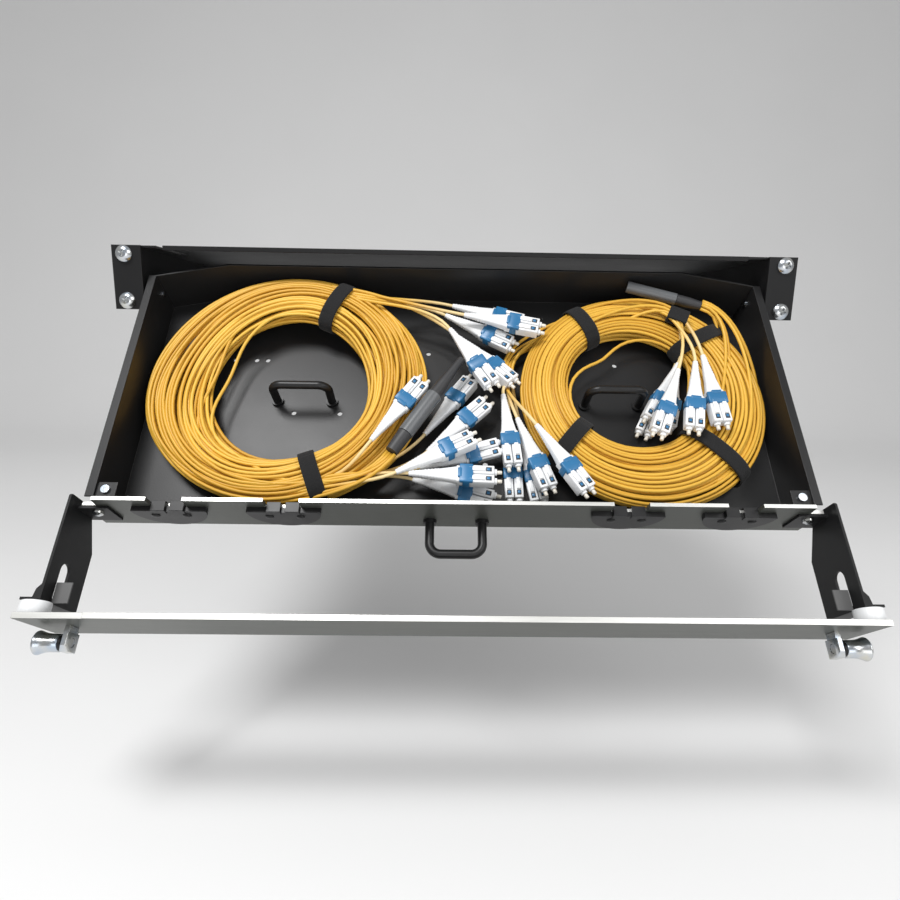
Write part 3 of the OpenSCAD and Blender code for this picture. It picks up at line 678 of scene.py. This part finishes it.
def makeStrap(name, coil, degrees):
    # a band round the bundle: a rounded oval section |u/a|^2.3 + |w/b|^2.3 = 1, carried
    # across the band's width, with its outside a little thicker where the end laps over
    settings = strapSettings
    angle = math.radians(degrees)
    middle = coilPoint(coil, np.array(angle), np.array(0.0), np.array(0.0))
    outer, inner = ovalPoint(coil["outer"], angle), ovalPoint(coil["inner"], angle)
    out = (outer - inner) / np.linalg.norm(outer - inner)
    half = np.linalg.norm(outer - inner) / 2 + settings["slack"]
    high = cableSettings["bundleHeight"] / 2 + settings["slack"]
    around = np.linspace(0, 2 * np.pi, settings["around"], endpoint=False)
    c, w = np.cos(around), np.sin(around)
    power = 2 / 2.3
    section = np.stack([np.sign(c) * np.abs(c) ** power, np.sign(w) * np.abs(w) ** power], -1)
    lap = settings["overlap"] * np.clip(np.sin((around - 0.5) * 1.6), 0, 1) ** 0.25 * (around < 2.2)
    shares = np.linspace(-1, 1, settings["along"])
    crown = 1 - 0.25 * shares ** 8
    skins = []
    outside = settings["thick"] * crown[:, None] + lap[None, :] * 0.5
    for thick in (outside, np.zeros_like(outside)):
        u = section[None, :, 0] * (half + thick)
        h = section[None, :, 1] * (high + thick)
        v = np.broadcast_to(shares[:, None] * settings["width"] / 2, u.shape)
        skins.append(np.stack([middle[0] + u * out[0] - v * out[1], middle[1] + u * out[1] + v * out[0],
                               middle[2] + h], -1))
    ring = np.concatenate([skins[0], skins[1][::-1], skins[0][:1]])
    points = spots(ring[:-1]).reshape(-1, 3)
    rows, columns = len(ring), len(around)
    faces = gridFaces(rows, columns) % ((rows - 1) * columns)
    return makePiece(name, points, faces, ["strap"], "tray")


for key, coil in coils.items():
    for i, degrees in enumerate(coil["straps"]):
        strap = makeStrap(f"strap-{key}-{i + 1}", coil, degrees)
        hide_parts("straps_" + key)
print("straps made")


def readArray(items, key, kind, width=1):
    values = np.empty(len(items) * width, kind)
    items.foreach_get(key, values)
    return values.reshape(-1, width) if width > 1 else values


def markEdges(mesh, shortest):
    # edges that turn by more than 35 degrees get a bevel weight if they are longer than
    # shortest mm, and are marked sharp otherwise; the turn is read from the length of the sum
    # of the normals on an edge's two sides, which is 2 cos(turn / 2)
    faceCount, edgeCount = len(mesh.polygons), len(mesh.edges)
    normals = readArray(mesh.polygons, "normal", np.float32, 3)
    loopEdge = readArray(mesh.loops, "edge_index", np.int32)
    loopFace = np.repeat(np.arange(faceCount), readArray(mesh.polygons, "loop_total", np.int32))
    sums, counts = np.zeros((edgeCount, 3)), np.zeros(edgeCount)
    np.add.at(sums, loopEdge, normals[loopFace])
    np.add.at(counts, loopEdge, 1)
    cosine = np.linalg.norm(sums, axis=1) / np.maximum(counts, 1)
    turning = cosine < math.cos(math.radians(17.5))
    # only faces with a gently turning edge belong to a curve; the others are shaded flat
    curved = np.zeros(faceCount, bool)
    np.logical_or.at(curved, loopFace, (~turning & (cosine < math.cos(math.radians(0.6))))[loopEdge])
    mesh.polygons.foreach_set("use_smooth", curved)
    ends = readArray(mesh.vertices, "co", np.float32, 3)[readArray(mesh.edges, "vertices", np.int32, 2)]
    longEnough = np.linalg.norm(ends[:, 0] - ends[:, 1], axis=1) > shortest * mm
    for key, kind, values in (("bevel_weight_edge", "FLOAT", (turning & longEnough).astype(np.float32)),
                              ("sharp_edge", "BOOLEAN", turning & ~longEnough)):
        layer = mesh.attributes.get(key) or mesh.attributes.new(key, kind, "EDGE")
        layer.data.foreach_set("value", values)
    return normals


def softened(node, finishName, body, bevel, shortest, litEdgeFinish):
    # a merged copy of a CAD node with its flat faces joined and its longer edges rounded
    mesh = frame["nodes"][node].data.copy()
    shape = bmesh.new()
    shape.from_mesh(mesh)
    bmesh.ops.remove_doubles(shape, verts=shape.verts, dist=2e-6)
    bmesh.ops.dissolve_limit(shape, angle_limit=math.radians(1), verts=shape.verts, edges=shape.edges)
    shape.to_mesh(mesh)
    shape.free()
    mesh.materials.clear()
    mesh.materials.append(finish[finishName])
    normals = markEdges(mesh, shortest)
    if litEdgeFinish:
        # faces that look along the tray's normal are the cut edges of the sheet, turned up to the key
        # light: their bright finish is partly bare cut metal and partly painted light, and the dark
        # finish of the other faces is painted shade
        mesh.materials.append(finish[litEdgeFinish])
        upwardLitFaces = normals @ headings([0, 0, 1]) > 0.7
        mesh.polygons.foreach_set("material_index", upwardLitFaces.astype(np.int32))
    piece = bpy.data.objects.new(node.replace("_", "-"), mesh)
    bpy.context.scene.collection.objects.link(piece)
    modifier = piece.modifiers.new("edges", "BEVEL")
    modifier.width = bevel * mm
    modifier.segments = 2
    modifier.limit_method = "WEIGHT"
    modifier.harden_normals = True
    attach(piece, body)
    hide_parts(node)


# nodes by finish, body and bevel width in mm
softenedNodes = [
    ("blackSheet", "chassis", 0.3, ["chassis_top_cover"]),
    ("blackSheet", "chassis", 0.4, ["chassis_side_left", "chassis_side_right"]),
    ("blackSheet", "chassis", 0.3, ["chassis_rear_brace"]),
    ("zinc", "chassis", 0.2, ["slide_rail_left", "slide_rail_right"]),
    ("zinc", "chassis", 0.15, ["ear_screws"]),
    ("zinc", "carriage", 0.3, ["slide_member_left", "slide_member_right"]),
    ("blackSheet", "carriage", 0.3, ["carriage_tie"]),
    ("traySheet", "tray", 0.3, ["tray_pan"]),
    ("aluminiumPaintedShade", "tray", 0.4, ["tray_front"]),
    ("blackSheet", "tray", 0.4, ["side_arm_left", "side_arm_right"]),
    ("tabGrey", "tray", 0.2, ["exit_tab_left", "exit_tab_right"]),
    ("aluminiumPaintedShade", "cover", 0.5, ["cover_panel"]),
    ("blackPlastic", "tray", 0.5, ["grommet_outer_left", "grommet_inner_left", "grommet_inner_right",
                                   "grommet_outer_right"]),
    ("blackPlastic", "tray", 0.15, ["front_handle", "coil_handle_left", "coil_handle_right"]),
    ("whitePlastic", "tray", 0.5, ["spacer_left", "spacer_right"]),
    ("zinc", "cover", 0.3, ["latch_block_left", "latch_block_right"]),
    ("blackPlastic", "cover", 0.2, ["latch_collars"]),
    ("zinc", "tray", 0.15, ["arm_screws"]),
    ("blackPlastic", "tray", 0.15, ["grommet_rivets"]),
    ("zinc", "tray", 0.3, ["corner_screws"]),
    ("strap", "tray", 0.4, ["fanout_tie"]),
]
shortestEdge = {"spacer_left": 0.2, "spacer_right": 0.2}
# nodes whose upward faces get the bright finish, partly cut edge and partly painted light
cutAndLitEdges = {"tray_front": "cutAluminiumPaintedLight", "cover_panel": "cutAluminiumPaintedLight"}
for finishName, body, bevel, nodes in softenedNodes:
    for node in nodes:
        softened(node, finishName, body, bevel, shortestEdge.get(node, 3.0), cutAndLitEdges.get(node))

keptNodes = {"rail_rivets": "zinc", "pivot_pins": "zinc", "handle_screws": "zinc",
             "furcation_tube_left": "greyTube", "furcation_boots_left": "bootPlastic",
             "furcation_tube_right": "greyTube", "furcation_boots_right": "bootPlastic"}
for node, finishName in keptNodes.items():
    for materialSlot in frame["nodes"][node].material_slots:
        materialSlot.material = finish[finishName]

knobSettings = {"across": 219.4, "forward": 250.6, "high": -18.0, "columns": 64,
                "outline": [[4.7, 0.0], [5.0, 0.3], [5.0, 5.5], [5.3, 8.0], [5.9, 10.2], [6.35, 11.3],
                            [6.55, 11.9], [6.6, 12.3], [6.5, 12.7], [6.2, 13.0], [5.7, 13.1],
                            [0.0, 13.1]],
                "pinRadius": 2.4, "pinBack": 5.8}


def lathe(outline, columns):
    # a closed skin round +X through the outline's [radius, distance] pairs
    outline = np.asarray(outline, float)
    angle = np.linspace(0, 2 * np.pi, columns, endpoint=False)
    points = np.stack(np.broadcast_arrays(outline[:, None, 1], outline[:, None, 0] * np.cos(angle),
                                          outline[:, None, 0] * np.sin(angle)), -1)
    return points, gridFaces(len(outline), columns)


def makeKnob(node, side, body):
    settings = knobSettings
    outline = [[0.0, -settings["pinBack"]], [settings["pinRadius"], -settings["pinBack"]],
               [settings["pinRadius"], 0.0], *settings["outline"]]
    local, faces = lathe(outline, settings["columns"])
    placed = np.stack([side * (settings["across"] + local[..., 0]),
                       settings["forward"] + local[..., 1] * side, settings["high"] + local[..., 2]], -1)
    piece = makePiece(node.replace("_", "-"), spots(placed).reshape(-1, 3), faces, ["zinc"], body)
    piece.data.set_sharp_from_angle(angle=math.radians(50))
    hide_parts(node)


makeKnob("latch_knob_left", -1, "knob_left")
makeKnob("latch_knob_right", 1, "knob_right")
print("hardware finished")


bpy.context.scene.view_settings.view_transform = "Standard"
studioSettings = {"floorHeight": -0.34, "floorSize": 6.0, "floorTone": (0.86, 0.86, 0.86),
                  "wallStart": 1.2, "wallBack": 2.6, "wallHeight": 3.2, "rows": 40, "sky": 0.42}
lights = {
    "keyLight": {"place": (-0.45, -0.75, 1.15), "aim": (0, -0.05, -0.08), "size": (0.6, 0.45),
                 "power": 20},
    "fillLight": {"place": (1.0, -1.0, 0.7), "aim": (0, -0.05, -0.08), "size": (0.9, 0.9),
                  "power": 6},
    "frontLight": {"place": (0.1, -1.2, -0.1), "aim": (0, -0.05, -0.1), "size": (0.8, 0.5),
                   "power": 2},
}


def makeStudio(settings):
    material, tree, shader = newMaterial("paleFloor", settings["floorTone"], 0.75)
    cloud = noise(tree, patternPlace(tree), 3, 2)
    link(mixColours(tree, cloud, (0.84, 0.84, 0.84, 1), (0.88, 0.88, 0.88, 1)), shader, "Base Color")
    # a flat floor that bends up into a wall behind, along a parabola
    size, bendAt = settings["floorSize"], 0.6
    bend = np.linspace(0, 1, settings["rows"])
    y = np.interp(bend, [0, bendAt, 1], [-size, settings["wallStart"], settings["wallBack"]])
    rise = np.maximum(0, (bend - bendAt) / (1 - bendAt)) ** 2
    z = settings["floorHeight"] + rise * settings["wallHeight"]
    x = np.array([-size, size])
    points = np.stack(np.broadcast_arrays(x[None, :], y[:, None], z[:, None]), -1).reshape(-1, 3)
    mesh = bpy.data.meshes.new("floor")
    mesh.from_pydata(points.tolist(), [], gridFaces(len(bend), 2, closedColumns=False).tolist())
    mesh.materials.append(material)
    mesh.polygons.foreach_set("use_smooth", np.full(len(mesh.polygons), True))
    floor = bpy.data.objects.new("floor", mesh)
    bpy.context.scene.collection.objects.link(floor)
    world = bpy.data.worlds.new("studio")
    world.use_nodes = True
    world.node_tree.nodes["Background"].inputs["Color"].default_value = (1, 1, 1, 1)
    world.node_tree.nodes["Background"].inputs["Strength"].default_value = settings["sky"]
    bpy.context.scene.world = world


def makeLight(name, settings):
    data = bpy.data.lights.new(name, "AREA")
    data.shape = "RECTANGLE"
    data.size, data.size_y = settings["size"]
    data.energy = settings["power"]
    light = bpy.data.objects.new(name, data)
    light.location = settings["place"]
    direction = Vector(settings["aim"]) - Vector(settings["place"])
    light.rotation_euler = direction.to_track_quat("-Z", "Y").to_euler()
    bpy.context.scene.collection.objects.link(light)


makeStudio(studioSettings)
for name, settings in lights.items():
    makeLight(name, settings)
print("studio made")
